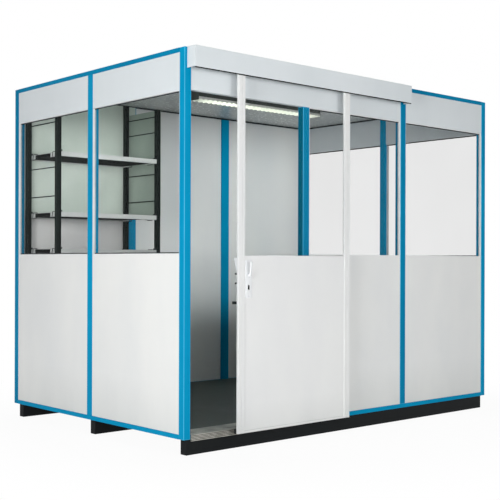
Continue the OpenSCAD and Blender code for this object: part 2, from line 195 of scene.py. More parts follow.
def makePiece(name, form, material, body, edgeMm=0.0, segments=2, smooth=False, replaced=()):
    mesh = bpy.data.meshes.new(name)
    bmesh.ops.recalc_face_normals(form, faces=form.faces)
    form.to_mesh(mesh)
    form.free()
    mesh.materials.append(material)
    for face in mesh.polygons:
        face.use_smooth = smooth or edgeMm > 0
    piece = bpy.data.objects.new(name, mesh)
    bpy.context.scene.collection.objects.link(piece)
    if edgeMm:
        softenEdges(piece, edgeMm, segments)
    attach(piece, body)
    if replaced:
        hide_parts(*replaced)
    return piece


# Materials

framePaint = {"colour": "#0097C4", "faded": "#008EBC", "roughness": 0.48, "sheen": 0.05}
# a darker copy of the blue for posts and rails that stand in shade: painted shade
deepShadePaint = {"colour": "#0086B1", "faded": "#007DA8", "roughness": 0.48, "sheen": 0.05}
# a dark copy of the blue for the strip on the jamb's side: painted shade
revealShadePaint = {"colour": "#006884", "faded": "#00607B", "roughness": 0.55, "sheen": 0.02}
# paler copy for the bevelled arrises: a painted highlight along the rounded edge
arrisHighlightPaint = {"colour": "#3FB2DA", "faded": "#34A6D0", "roughness": 0.4, "sheen": 0.3}


def makeFramePaint(name, look):
    # Powder-coated aluminium, sprayed and baked: deep even blue, soft gloss, faint orange peel.
    # The arris copy is a paler blue laid on the bevelled edges: a painted highlight.
    mat, place = startMaterial(name)
    patches = addNode(mat, "TexNoise", {"Vector": place, "Scale": perMetre(380), "Detail": 4.0})
    # real orange peel is near 1 mm; it is drawn coarser so that it shows
    peel = addNode(mat, "TexNoise", {"Vector": place, "Scale": perMetre(8), "Detail": 2.0})
    share = addNode(mat, "MapRange", {"Value": patches, "From Min": 0.35, "From Max": 0.65})
    colour = addNode(mat, "Mix", {
        0: share, 6: toLinear(look["colour"]), 7: toLinear(look["faded"]),
    }, data_type="RGBA")
    gloss = addNode(mat, "MapRange", {
        "Value": patches, "From Min": 0.3, "From Max": 0.7,
        "To Min": look["roughness"] - 0.05, "To Max": look["roughness"] + 0.07,
    })
    bump = addNode(mat, "Bump", {"Height": peel, "Distance": 0.2 * mm, "Strength": 0.3})
    shader = addNode(mat, "BsdfPrincipled", {
        "Base Color": (colour, 2), "Roughness": gloss, "IOR": 1.5,
        "Specular IOR Level": look["sheen"], "Normal": bump,
    })
    addNode(mat, "OutputMaterial", {"Surface": shader})
    return mat


wallPaint = {"colour": "#EBECEA", "mottle": "#E3E5E5", "dust": "#C9CCC8", "roughness": 0.45, "dustTop": 0.45}
doorPaint = {"colour": "#EAEBEA", "mottle": "#E4E5E6", "dust": "#CDD0CC", "roughness": 0.38, "dustTop": 0.3}
headPaint = {"colour": "#DEE4E7", "mottle": "#D8DFE2", "dust": "#D8DFE2", "roughness": 0.45, "dustTop": 0.1}
# the ceiling's white is set grey: painted shade on the underside
ceilingShadePaint = {"colour": "#CBD0CE", "mottle": "#C5CAC8", "dust": "#C5CAC8", "roughness": 0.24, "dustTop": 0.1}
roofPaint = {"colour": "#D3D6D5", "mottle": "#CBCFCE", "dust": "#CBCFCE", "roughness": 0.62, "dustTop": 0.1}


def makeSheetPaint(name, look):
    # Coil-coated steel, rolled on and baked: flat satin film, a mottle drawn out along the coil,
    # and a little ground dust on the lowest part of the wall.
    mat, place = startMaterial(name)
    along = addNode(mat, "Mapping", {"Vector": place, "Scale": (1.0, 1.0, 0.4)})
    mottle = addNode(mat, "TexNoise", {"Vector": along, "Scale": perMetre(240), "Detail": 4.0})
    # the film's real grain is under 1 mm; it is drawn coarser so that it shows
    film = addNode(mat, "TexNoise", {"Vector": place, "Scale": perMetre(14), "Detail": 3.0})
    share = addNode(mat, "MapRange", {"Value": mottle, "From Min": 0.35, "From Max": 0.65})
    base = addNode(mat, "Mix", {
        0: share, 6: toLinear(look["colour"]), 7: toLinear(look["mottle"]),
    }, data_type="RGBA")
    height = addNode(mat, "SeparateXYZ", {"Vector": place})
    lowDown = addNode(mat, "MapRange", {
        "Value": (height, "Z"), "From Min": look["dustTop"], "From Max": 0.1, "To Max": 0.7,
    })
    dust = addNode(mat, "Math", {0: lowDown, 1: mottle}, operation="MULTIPLY")
    colour = addNode(mat, "Mix", {0: dust, 6: (base, 2), 7: toLinear(look["dust"])}, data_type="RGBA")
    gloss = addNode(mat, "MapRange", {
        "Value": film, "From Min": 0.3, "From Max": 0.7,
        "To Min": look["roughness"] - 0.04, "To Max": look["roughness"] + 0.05,
    })
    bump = addNode(mat, "Bump", {"Height": film, "Distance": 0.25 * mm, "Strength": 0.25})
    shader = addNode(mat, "BsdfPrincipled", {
        "Base Color": (colour, 2), "Roughness": gloss, "IOR": 1.5, "Normal": bump,
    })
    addNode(mat, "OutputMaterial", {"Surface": shader})
    return mat


beadPlastic = {"colour": "#F1F3F3", "streak": "#E8EBEB", "roughness": 0.42}


def makeBeadPlastic():
    # Extruded PVC glazing bead: bright white, satin, faintly uneven as the die leaves it.
    mat, place = startMaterial("extruded_pvc_white")
    lines = addNode(mat, "TexNoise", {"Vector": place, "Scale": perMetre(22), "Detail": 5.0, "Roughness": 0.65})
    share = addNode(mat, "MapRange", {"Value": lines, "From Min": 0.3, "From Max": 0.7})
    colour = addNode(mat, "Mix", {
        0: share, 6: toLinear(beadPlastic["colour"]), 7: toLinear(beadPlastic["streak"]),
    }, data_type="RGBA")
    bump = addNode(mat, "Bump", {"Height": lines, "Distance": 0.15 * mm, "Strength": 0.2})
    shader = addNode(mat, "BsdfPrincipled", {
        "Base Color": (colour, 2), "Roughness": beadPlastic["roughness"], "IOR": 1.53, "Normal": bump,
    })
    addNode(mat, "OutputMaterial", {"Surface": shader})
    return mat


paneGlass = {"tint": "#FCFCFC", "film": "#FBFBFB", "mirror": "#6C7070", "ior": 1.52, "roughness": 0.01}
doorGlass = {"tint": "#FEFEFE", "film": "#FEFEFE", "mirror": "#CCD0D0", "ior": 1.15, "roughness": 0.01}


def makePaneGlass(name, look):
    # Clear float glass: sight passes straight through, each face mirrors more at a glancing angle,
    # and a thin uneven film of dust takes a little light.
    mat, place = startMaterial(name)
    smear = addNode(mat, "TexNoise", {"Vector": place, "Scale": perMetre(500), "Detail": 2.0})
    share = addNode(mat, "MapRange", {"Value": smear, "From Min": 0.4, "From Max": 0.7})
    tint = addNode(mat, "Mix", {0: share, 6: toLinear(look["tint"]), 7: toLinear(look["film"])}, data_type="RGBA")
    through = addNode(mat, "BsdfTransparent", {"Color": (tint, 2)})
    mirror = addNode(mat, "BsdfGlossy", {"Color": toLinear(look["mirror"]), "Roughness": look["roughness"]})
    edge = addNode(mat, "Fresnel", {"IOR": look["ior"]})
    side = addNode(mat, "NewGeometry")
    entering = addNode(mat, "Math", {0: 1.0, 1: (side, "Backfacing")}, operation="SUBTRACT")
    share = addNode(mat, "Math", {0: edge, 1: entering}, operation="MULTIPLY")
    shader = addNode(mat, "MixShader", {0: share, 1: through, 2: mirror})
    addNode(mat, "OutputMaterial", {"Surface": shader})
    return mat


runnerPaint = {"colour": "#0F1214", "dusty": "#1C1F1E", "roughness": 0.6, "shine": 0.12}


def makeRunnerPaint():
    # Steel section in matt black paint: nearly black, slightly uneven, greyed by ground dust.
    mat, place = startMaterial("matt_painted_steel_black")
    patches = addNode(mat, "TexNoise", {"Vector": place, "Scale": perMetre(90), "Detail": 6.0, "Roughness": 0.6})
    grit = addNode(mat, "TexNoise", {"Vector": place, "Scale": perMetre(7), "Detail": 3.0})
    share = addNode(mat, "MapRange", {"Value": patches, "From Min": 0.5, "From Max": 0.75, "To Max": 0.6})
    colour = addNode(mat, "Mix", {
        0: share, 6: toLinear(runnerPaint["colour"]), 7: toLinear(runnerPaint["dusty"]),
    }, data_type="RGBA")
    gloss = addNode(mat, "MapRange", {
        "Value": patches, "To Min": runnerPaint["roughness"] - 0.1, "To Max": runnerPaint["roughness"] + 0.2,
    })
    bump = addNode(mat, "Bump", {"Height": grit, "Distance": 0.4 * mm, "Strength": 0.4})
    shader = addNode(mat, "BsdfPrincipled", {
        "Base Color": (colour, 2), "Roughness": gloss, "IOR": 1.5, "Specular IOR Level": runnerPaint["shine"],
        "Normal": bump,
    })
    addNode(mat, "OutputMaterial", {"Surface": shader})
    return mat


floorRubber = {"colour": "#313B33", "worn": "#4C5850", "groove": "#1C231E", "pitchMm": 24.0, "roughness": 0.5}
bandsPerUnit = 3.1831  # bands that the wave pattern draws in a unit at scale 1


def makeFloorRubber():
    # Rolled rubber matting with fine ribs along the cabin: dark green-grey, half matt, trodden paler
    # in patches. The real ribs are 5 to 6 mm apart; they are drawn coarser so that they show.
    mat, place = startMaterial("ribbed_rubber_matting")
    ribs = addNode(mat, "TexWave", {
        "Vector": place, "Scale": 1000.0 / floorRubber["pitchMm"] / bandsPerUnit, "Distortion": 0.0,
    }, wave_type="BANDS", bands_direction="Y")
    wornness = addNode(mat, "TexNoise", {"Vector": place, "Scale": perMetre(260), "Detail": 6.0, "Roughness": 0.6})
    worn = addNode(mat, "MapRange", {"Value": wornness, "From Min": 0.45, "From Max": 0.7})
    base = addNode(mat, "Mix", {
        0: worn, 6: toLinear(floorRubber["colour"]), 7: toLinear(floorRubber["worn"]),
    }, data_type="RGBA")
    # the grooves between the ribs are coloured darker: painted shade in them
    deep = addNode(mat, "MapRange", {"Value": (ribs, "Fac"), "From Min": 0.25, "From Max": 0.0, "To Max": 0.7})
    colour = addNode(mat, "Mix", {0: deep, 6: (base, 2), 7: toLinear(floorRubber["groove"])}, data_type="RGBA")
    gloss = addNode(mat, "MapRange", {
        "Value": wornness, "To Min": floorRubber["roughness"] - 0.12, "To Max": floorRubber["roughness"] + 0.15,
    })
    bump = addNode(mat, "Bump", {"Height": (ribs, "Fac"), "Distance": 1.0 * mm, "Strength": 0.5})
    shader = addNode(mat, "BsdfPrincipled", {
        "Base Color": (colour, 2), "Roughness": gloss, "IOR": 1.52, "Normal": bump,
    })
    addNode(mat, "OutputMaterial", {"Surface": shader})
    return mat


millAluminium = {"colour": "#B6B5AD", "stain": "#77756E", "roughness": 0.42}
trackMetal = {"colour": "#C3C6C8", "stain": "#AEB2B5", "roughness": 0.34}
zincPlate = {"colour": "#C9CCCE", "stain": "#A7ACB0", "roughness": 0.3}


def makeBareMetal(name, look, stretch):
    # Bare metal as it left its die or bath: grey shine broken up by fine lines and dull stains.
    mat, place = startMaterial(name)
    along = addNode(mat, "Mapping", {"Vector": place, "Scale": stretch})
    lines = addNode(mat, "TexNoise", {"Vector": along, "Scale": perMetre(5), "Detail": 4.0})
    stains = addNode(mat, "TexNoise", {"Vector": place, "Scale": perMetre(70), "Detail": 5.0})
    dull = addNode(mat, "MapRange", {"Value": stains, "From Min": 0.4, "From Max": 0.72})
    colour = addNode(mat, "Mix", {0: dull, 6: toLinear(look["colour"]), 7: toLinear(look["stain"])}, data_type="RGBA")
    gloss = addNode(mat, "MapRange", {
        "Value": lines, "From Min": 0.3, "From Max": 0.7,
        "To Min": look["roughness"] - 0.1, "To Max": look["roughness"] + 0.12,
    })
    bump = addNode(mat, "Bump", {"Height": lines, "Distance": 0.15 * mm, "Strength": 0.3})
    shader = addNode(mat, "BsdfPrincipled", {
        "Base Color": (colour, 2), "Metallic": 1.0, "Roughness": gloss, "Normal": bump,
    })
    addNode(mat, "OutputMaterial", {"Surface": shader})
    return mat


handleCoat = {"colour": "#EEF0F2", "shade": "#E4E7EA", "roughness": 0.22, "shine": 0.5, "coat": 0.4, "grainMm": 12}
nylonBlack = {"colour": "#14181A", "shade": "#22282A", "roughness": 0.48, "shine": 0.25, "coat": 0.0, "grainMm": 4}
# the light's housing is coloured dark grey: painted shade on it
lampHousingShadeEnamel = {"colour": "#585E5A", "shade": "#4C524E", "roughness": 0.35, "shine": 0.4, "coat": 0.1, "grainMm": 10}
louvreEnamel = {"colour": "#F6F8F3", "shade": "#EEF1EA", "roughness": 0.3, "shine": 0.5, "coat": 0.2, "grainMm": 14}
shelvingCoat = {"colour": "#0D1513", "shade": "#16211E", "roughness": 0.55, "shine": 0.06, "coat": 0.0, "grainMm": 9}
shelfCoat = {"colour": "#DDE1DF", "shade": "#D0D6D3", "roughness": 0.38, "shine": 0.5, "coat": 0.1, "grainMm": 12}
# set paler than the enamel as painted light; the side sheet's darker copy below is painted shade
sheetCoat = {"colour": "#D6E2D8", "shade": "#CAD7CD", "roughness": 0.42, "shine": 0.4, "coat": 0.05, "grainMm": 12}
sideSheetShadeCoat = {
    "colour": "#A9B8AD", "shade": "#9EAEA3", "roughness": 0.42, "shine": 0.4, "coat": 0.05, "grainMm": 12,
}
# flat black standing in for shade under the shelves, in the upright slots and under the track cover: painted shade
paintedShadeCoat = {"colour": "#0E1211", "shade": "#090C0B", "roughness": 0.8, "shine": 0.05, "coat": 0.0, "grainMm": 5}
# dark strips in the sill's grooves: painted shade
grooveShadeCoat = {"colour": "#2A2925", "shade": "#1C1B18", "roughness": 0.85, "shine": 0.1, "coat": 0.0, "grainMm": 6}


def makeSmoothCoat(name, look):
    # A moulded or stoved coat: one colour that drifts a little, with its own gloss and fine grain.
    mat, place = startMaterial(name)
    drift = addNode(mat, "TexNoise", {"Vector": place, "Scale": perMetre(150), "Detail": 5.0})
    grain = addNode(mat, "TexNoise", {"Vector": place, "Scale": perMetre(look["grainMm"]), "Detail": 3.0})
    share = addNode(mat, "MapRange", {"Value": drift, "From Min": 0.35, "From Max": 0.65})
    colour = addNode(mat, "Mix", {
        0: share, 6: toLinear(look["colour"]), 7: toLinear(look["shade"]),
    }, data_type="RGBA")
    gloss = addNode(mat, "MapRange", {
        "Value": grain, "From Min": 0.3, "From Max": 0.7,
        "To Min": look["roughness"] - 0.05, "To Max": look["roughness"] + 0.06,
    })
    bump = addNode(mat, "Bump", {"Height": grain, "Distance": 0.15 * mm, "Strength": 0.3})
    shader = addNode(mat, "BsdfPrincipled", {
        "Base Color": (colour, 2), "Roughness": gloss, "IOR": 1.5, "Specular IOR Level": look["shine"],
        "Coat Weight": look["coat"], "Coat Roughness": 0.15, "Normal": bump,
    })
    addNode(mat, "OutputMaterial", {"Surface": shader})
    return mat


lampTube = {"colour": "#FBFFF4", "powder": "#FFFFFA", "glow": 2.8}


def makeLampTube():
    # Fluorescent tube: frosted white glass, lit, a shade dimmer towards patches of its powder.
    mat, place = startMaterial("frosted_lamp_glass")
    powder = addNode(mat, "TexNoise", {"Vector": place, "Scale": perMetre(30), "Detail": 2.0})
    share = addNode(mat, "MapRange", {"Value": powder})
    colour = addNode(mat, "Mix", {
        0: share, 6: toLinear(lampTube["powder"]), 7: toLinear(lampTube["colour"]),
    }, data_type="RGBA")
    shader = addNode(mat, "BsdfPrincipled", {
        "Base Color": (colour, 2), "Roughness": 0.35, "IOR": 1.5,
        "Emission Color": toLinear(lampTube["colour"]), "Emission Strength": lampTube["glow"],
    })
    addNode(mat, "OutputMaterial", {"Surface": shader})
    return mat


blue = makeFramePaint("powder_coated_aluminium_blue", framePaint)
blueDeepShade = makeFramePaint("powder_coated_aluminium_painted_shade", deepShadePaint)
blueArrisHighlight = makeFramePaint("powder_coated_aluminium_painted_highlight", arrisHighlightPaint)
blueRevealShade = makeFramePaint("painted_shade_jamb_reveal", revealShadePaint)
wallWhite = makeSheetPaint("coil_coated_steel_white", wallPaint)
headWhite = makeSheetPaint("coil_coated_steel_head", headPaint)
doorWhite = makeSheetPaint("powder_coated_steel_white", doorPaint)
ceilingShadeWhite = makeSheetPaint("coil_coated_steel_ceiling_painted_shade", ceilingShadePaint)
roofGrey = makeSheetPaint("coil_coated_steel_roof", roofPaint)
beadWhite = makeBeadPlastic()
clearGlass = makePaneGlass("clear_float_glass", paneGlass)
cleanGlass = makePaneGlass("clear_toughened_glass", doorGlass)
runnerBlack = makeRunnerPaint()
matting = makeFloorRubber()
sillMetal = makeBareMetal("mill_finish_aluminium", millAluminium, (0.03, 1.0, 1.0))
railMetal = makeBareMetal("anodised_aluminium", trackMetal, (0.03, 1.0, 1.0))
zinc = makeBareMetal("zinc_plated_steel", zincPlate, (1.0, 1.0, 1.0))
handleWhite = makeSmoothCoat("moulded_nylon_white", handleCoat)
fittingBlack = makeSmoothCoat("moulded_nylon_black", nylonBlack)
lampHousingShade = makeSmoothCoat("stove_enamelled_steel_painted_shade", lampHousingShadeEnamel)
louvreWhite = makeSmoothCoat("stove_enamelled_steel_white", louvreEnamel)
shelvingDark = makeSmoothCoat("powder_coated_steel_dark", shelvingCoat)
shelfGrey = makeSmoothCoat("powder_coated_steel_pale", shelfCoat)
sheetGreen = makeSmoothCoat("enamelled_sheet_grey_green", sheetCoat)
sideGreenShade = makeSmoothCoat("enamelled_sheet_green_painted_shade", sideSheetShadeCoat)
paintedShadeBlack = makeSmoothCoat("painted_shade_black", paintedShadeCoat)
grooveShade = makeSmoothCoat("groove_painted_shade", grooveShadeCoat)
tubeGlass = makeLampTube()
print("materials made:", len(bpy.data.materials))

# Finishes and softened edges of the CAD nodes
# the paler blue on the posts' bevels is a painted highlight
dress(["front_corner_posts"], blue, 3.5, 3, blueArrisHighlight)
dress(["side_posts", "back_posts", "bottom_rails"], blue, 2)
# back corner posts, front posts and top rails take the darker copy: painted shade
dress(["back_corner_posts"], blueDeepShade, 2)
dress(["front_posts"], blueDeepShade, 3, 3, blueArrisHighlight)
dress(["top_rails"], blueDeepShade)
dress(["back_panels", "left_lower_panels", "right_lower_panels", "front_lower_panels"], wallWhite, 1.5)
dress(["left_headers", "right_headers", "front_headers"], headWhite, 1.5)
dress(["track_cover_front", "track_cover_top", "track_cover_ends"], headWhite, 0.8)
dress(["left_window_frames", "right_window_frames", "front_window_frames"], beadWhite, 1.2)
dress(["left_glass", "right_glass", "front_glass"], clearGlass)
dress(["door_glass"], cleanGlass)
dress(["runners"], runnerBlack, 3)
dress(["floor_deck"], matting, 1)
dress(["door_sill"], sillMetal, 0.8)
dress(["door_track", "track_brackets"], railMetal, 1)
dress(["door_rails"], doorWhite, 1.2)
dress(["door_hangers"], zinc, 0.8)
dress(["door_pull"], handleWhite, 1.5)
dress(["door_buffers"], fittingBlack, 1.5)
dress(["shelving_rungs"], shelvingDark, 0.8)
print("nodes dressed")

# Sill: dark strips along the bottoms of its grooves, painted shade, and a thin tread plate on the floor behind it
sillShape = {"ribMm": 5.0, "grooveMm": 4.0, "grooveDeepMm": 3.0, "grooveShadeMm": 0.6, "plateDeepMm": 105.0, "plateMm": 1.5}


def makeSillParts():
    low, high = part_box("door_sill")
    rib, groove = sillShape["ribMm"] * mm, sillShape["grooveMm"] * mm
    back = low.y + sillShape["grooveDeepMm"] * mm
    grooveShadeForm = bmesh.new()
    z = low.z + rib
    while z < high.z - rib - groove / 2:
        addBlock(grooveShadeForm, (low.x, back - sillShape["grooveShadeMm"] * mm, z), (high.x, back, z + groove))
        z += rib + groove
    makePiece("sill_groove_shade", grooveShadeForm, grooveShade, "cabin")
    plate = bmesh.new()
    end = (high.x, high.y + sillShape["plateDeepMm"] * mm, high.z + sillShape["plateMm"] * mm)
    addBlock(plate, (low.x, high.y, high.z), end)
    makePiece("threshold_plate", plate, sillMetal, "cabin", edgeMm=0.7)


makeSillParts()

# Door stiles: hollow-section profiles with a cover strip let into the front
stileShape = {"cornerMm": 3.0, "grooveAt": 0.52, "grooveWidthMm": 3.0, "grooveDepthMm": 2.5}


def makeStiles():
    form = bmesh.new()
    for low, high in solidBoxes("door_stiles"):
        groove = low.x + stileShape["grooveAt"] * (high.x - low.x)
        half = stileShape["grooveWidthMm"] * mm / 2
        deep = stileShape["grooveDepthMm"] * mm
        outline = roundedOutline((low.x, low.y), (high.x, high.y), stileShape["cornerMm"] * mm, 3)
        # the outline runs from the back right corner; its front edge lies between its last two corners
        left, right, bottom = groove - half, groove + half, low.y + deep
        cut = [(left, low.y), (left, bottom), (right, bottom), (right, low.y)]
        outline = outline[:12] + cut + outline[12:]
        addBar(form, outline, lambda u, v, w: (u, v, w), low.z, high.z)
    makePiece("door_stile_profiles", form, doorWhite, "door", replaced=["door_stiles"])


makeStiles()

doorPanelShape = {"foldMm": 2.0}


def makeDoorPanel():
    low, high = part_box("door_panel")
    form = bmesh.new()
    addBlock(form, low, high)
    makePiece(
        "door_lower_panel", form, doorWhite, "door",
        edgeMm=doorPanelShape["foldMm"], segments=3, replaced=["door_panel"],
    )


makeDoorPanel()

# Handle set
handleShape = {
    "plateCornerMm": 9.0, "screwMm": 8.0, "screwInsetMm": 11.0, "plugMm": 7.5, "plugUpMm": 8.0,
    # how far in from the plate's face each step of its rounded edge lies, and how much smaller it is
    "edgeSteps": [(1.2, 0), (0.3, 0.5), (0, 1.4)],
}


def makeHandlePlates():
    axis = Vector(next(j for j in frame["joints"] if j["name"] == "lever_turn")["pos_m"])
    lockLow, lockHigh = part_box("lock_cylinder")
    plates = bmesh.new()
    screws = bmesh.new()
    lock = bmesh.new()
    plug = bmesh.new()
    hole = (lockHigh.x - lockLow.x) / 2
    for low, high in solidBoxes("handle_plates"):
        front = low.y < axis.y
        outer, inner = (low.y, high.y) if front else (high.y, low.y)
        inward = math.copysign(1, inner - outer)
        radius = handleShape["plateCornerMm"] * mm
        rings = []
        steps = [(outer + inward * depth * mm, shrink) for depth, shrink in handleShape["edgeSteps"]]
        for y, shrink in [(inner, 0)] + steps:
            s = shrink * mm
            edge = roundedOutline((low.x + s, low.z + s), (high.x - s, high.z - s), radius - s)
            rings.append([(u, y, v) for u, v in edge])
        addLoft(plates, rings)
        for z in (low.z + handleShape["screwInsetMm"] * mm, high.z - handleShape["screwInsetMm"] * mm):
            r = handleShape["screwMm"] * mm / 2
            addTube(screws, (axis.x, outer + inward * mm, z), (axis.x, outer, z), r, 24)
        # the key slot's liner stands a touch back from the plate's face
        middle = (lockLow.z + lockHigh.z) / 2
        outline = roundedOutline((lockLow.x, lockLow.z), (lockHigh.x, lockHigh.z), hole * 0.999, 6)
        addLoft(lock, [[(u, y, v) for u, v in outline] for y in (inner, outer)])
        top = middle + handleShape["plugUpMm"] * mm
        radius = handleShape["plugMm"] * mm / 2
        addTube(plug, (axis.x, outer + inward * 0.5 * mm, top), (axis.x, outer, top), radius, 24)
    makePiece(
        "handle_backplates", plates, handleWhite, "door", smooth=True, replaced=["handle_plates"],
    )
    makePiece("handle_screws", screws, zinc, "door", edgeMm=0.5)
    makePiece("lock_liner", lock, fittingBlack, "door", replaced=["lock_cylinder"])
    makePiece("lock_plug", plug, zinc, "door", edgeMm=0.4)


makeHandlePlates()

leverShape = {
    "gapMm": 0.3, "neckMm": 12.0, "thickMm": 9.0, "leanMm": 12.0, "tallMm": 88, "spindleMm": 8.8,
    # distance from the plate and radius, along the boss
    "boss": [(0, 10.9), (2, 10.9), (3, 10.2), (9, 9.4), (15, 9.0)],
    # height above the axis, width and share of the thickness, all along the grip
    "sections": [
        (-10.5, 8.0, 0.55), (-9.0, 14.0, 0.85), (-5.0, 19.5, 1.0), (1.0, 21.6, 1.0), (8.0, 19.5, 1.0),
        (16.0, 15.8, 0.96), (27.0, 14.2, 0.92), (42.0, 15.2, 0.9), (58.0, 17.6, 0.9), (72.0, 20.2, 0.9),
        (81.0, 21.4, 0.88), (85.5, 19.5, 0.75), (87.5, 14.0, 0.45),
    ],
}


def makeLever():
    axis = Vector(next(j for j in frame["joints"] if j["name"] == "lever_turn")["pos_m"])
    plateLow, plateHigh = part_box("handle_plates")
    form = bmesh.new()
    for outward, plateFace in ((-1, plateLow.y), (1, plateHigh.y)):
        start = plateFace + outward * leverShape["gapMm"] * mm
        neck = start + outward * leverShape["neckMm"] * mm
        angles = [2 * math.pi * i / 28 for i in range(28)]
        addLoft(form, [
            [(axis.x + r * mm * math.cos(a), start + outward * y * mm, axis.z + r * mm * math.sin(a)) for a in angles]
            for y, r in leverShape["boss"]
        ])
        rings = []
        for up, width, share in leverShape["sections"]:
            lean = leverShape["leanMm"] * max(up, 0) / leverShape["tallMm"] * mm
            middle = neck + outward * (leverShape["thickMm"] / 2 * mm + lean)
            halfThick = leverShape["thickMm"] / 2 * share * mm
            ring = []
            for i in range(20):
                a = 2 * math.pi * i / 20
                c, s = math.cos(a), math.sin(a)
                # a squarish oval, flatter on its broad sides
                u = math.copysign(abs(c) ** 0.7, c) * width / 2 * mm
                v = math.copysign(abs(s) ** 0.8, s) * halfThick
                ring.append((axis.x + u, middle + v, axis.z + up * mm))
            rings.append(ring)
        addLoft(form, rings)
    radius = leverShape["spindleMm"] / 2 * mm
    addTube(form, (axis.x, plateLow.y, axis.z), (axis.x, plateHigh.y, axis.z), radius)
    makePiece("lever_handles", form, handleWhite, "lever", smooth=True, replaced=["lever"])


makeLever()
print("door fittings made")

# Shelving
shelfShape = {"sheetMm": 1.5, "lipMm": 14.0, "shadeUpMm": 9.0, "frontFlangeMm": 165.0, "backFlangeMm": 90.0}
clipShape = {"endMm": 2.0, "sideMm": 4.0, "wideMm": 8.0, "longMm": 30.0, "tallMm": 14.0}
hookShape = {
    "wireMm": 5.0, "frontMm": 60, "backMm": 130,
    # the loop's corners: along the shelf's end from its start, and from the top or bottom of the shelf
    "footMm": (10, 72), "headMm": (0, 62), "belowMm": 2, "aboveMm": 4,
}


def makeShelves():
    trays = bmesh.new()
    undersideShade = bmesh.new()
    clips = bmesh.new()
    t = shelfShape["sheetMm"] * mm
    lip = shelfShape["lipMm"] * mm
    for low, high in solidBoxes("shelves"):
        # open tray: top, two long flanges and their return lips
        outline = [
            (low.y, high.z), (low.y, low.z), (low.y + lip, low.z), (low.y + lip, low.z + t), (low.y + t, low.z + t),
            (low.y + t, high.z - t), (high.y - t, high.z - t), (high.y - t, low.z + t), (high.y - lip, low.z + t),
            (high.y - lip, low.z), (high.y, low.z), (high.y, high.z),
        ]
        addBar(trays, outline, lambda u, v, w: (w, u, v), low.x, high.x)
        for x in (low.x, high.x - t):
            front = low.y + shelfShape["frontFlangeMm"] * mm
            back = high.y - shelfShape["backFlangeMm"] * mm
            addBlock(trays, (x, low.y + t, low.z + t), (x + t, front, high.z - t))
            addBlock(trays, (x, back, low.z + t), (x + t, high.y - t, high.z - t))
        # a black sheet just under each tray's top: painted shade on its underside
        level = low.z + shelfShape["shadeUpMm"] * mm
        addBlock(undersideShade, (low.x + 2 * t, low.y + 2 * t, level), (high.x - 2 * t, high.y - 2 * t, high.z - 2 * t))
        # clips that hook the tray's corners to the uprights
        end, side = clipShape["endMm"] * mm, clipShape["sideMm"] * mm
        wide, long = clipShape["wideMm"] * mm, clipShape["longMm"] * mm
        for x0 in (low.x + end, high.x - end - wide):
            for y0 in (low.y + side, high.y - side - long):
                addBlock(clips, (x0, y0, high.z), (x0 + wide, y0 + long, high.z + clipShape["tallMm"] * mm))
    makePiece("shelf_trays", trays, shelfGrey, "cabin", edgeMm=0.7, replaced=["shelves"])
    makePiece("shelf_underside_shade", undersideShade, paintedShadeBlack, "cabin", edgeMm=1)
    makePiece("shelf_clips", clips, fittingBlack, "cabin", edgeMm=1)

    # bent-wire hooks on the shelf ends, closed loops that lean back
    hooks = bmesh.new()
    wire = hookShape["wireMm"] * mm / 2
    foot, head = hookShape["footMm"], hookShape["headMm"]
    for low, high in solidBoxes("shelves"):
        bottom, top = low.z - hookShape["belowMm"] * mm, high.z + hookShape["aboveMm"] * mm
        for x in (low.x - 2 * wire, high.x + 2 * wire):
            for y in (low.y + hookShape["frontMm"] * mm, high.y - hookShape["backMm"] * mm):
                loop = [
                    (x, y + foot[0] * mm, bottom), (x, y + head[0] * mm, top),
                    (x, y + head[1] * mm, top), (x, y + foot[1] * mm, bottom),
                ]
                for a, b in zip(loop, loop[1:] + loop[:1]):
                    addTube(hooks, a, b, wire, 8)
    makePiece("shelf_hooks", hooks, fittingBlack, "cabin", smooth=True)

    # the sheets: one enamel, the side sheet in a darker copy as painted shade, the back sheet set paler as painted
    # light
    for low, high in solidBoxes("shelving_sheets"):
        form = bmesh.new()
        addBlock(form, low, high)
        if high.x - low.x > high.y - low.y:
            name, finish, replaced = "shelving_back_sheet", sheetGreen, ["shelving_sheets"]
        else:
            name, finish, replaced = "shelving_side_sheet", sideGreenShade, []
        makePiece(name, form, finish, "cabin", replaced=replaced)


makeShelves()

uprightShape = {
    "cornerMm": 2.5, "channelFrom": 0.5, "channelTo": 0.84, "channelDeepMm": 9.0,
    "slotAt": 0.27, "slotPitchMm": 50.0, "slotTallMm": 16.0, "slotWideMm": 5.0, "slotProudMm": 0.2, "slotDeepMm": 1.0,
}


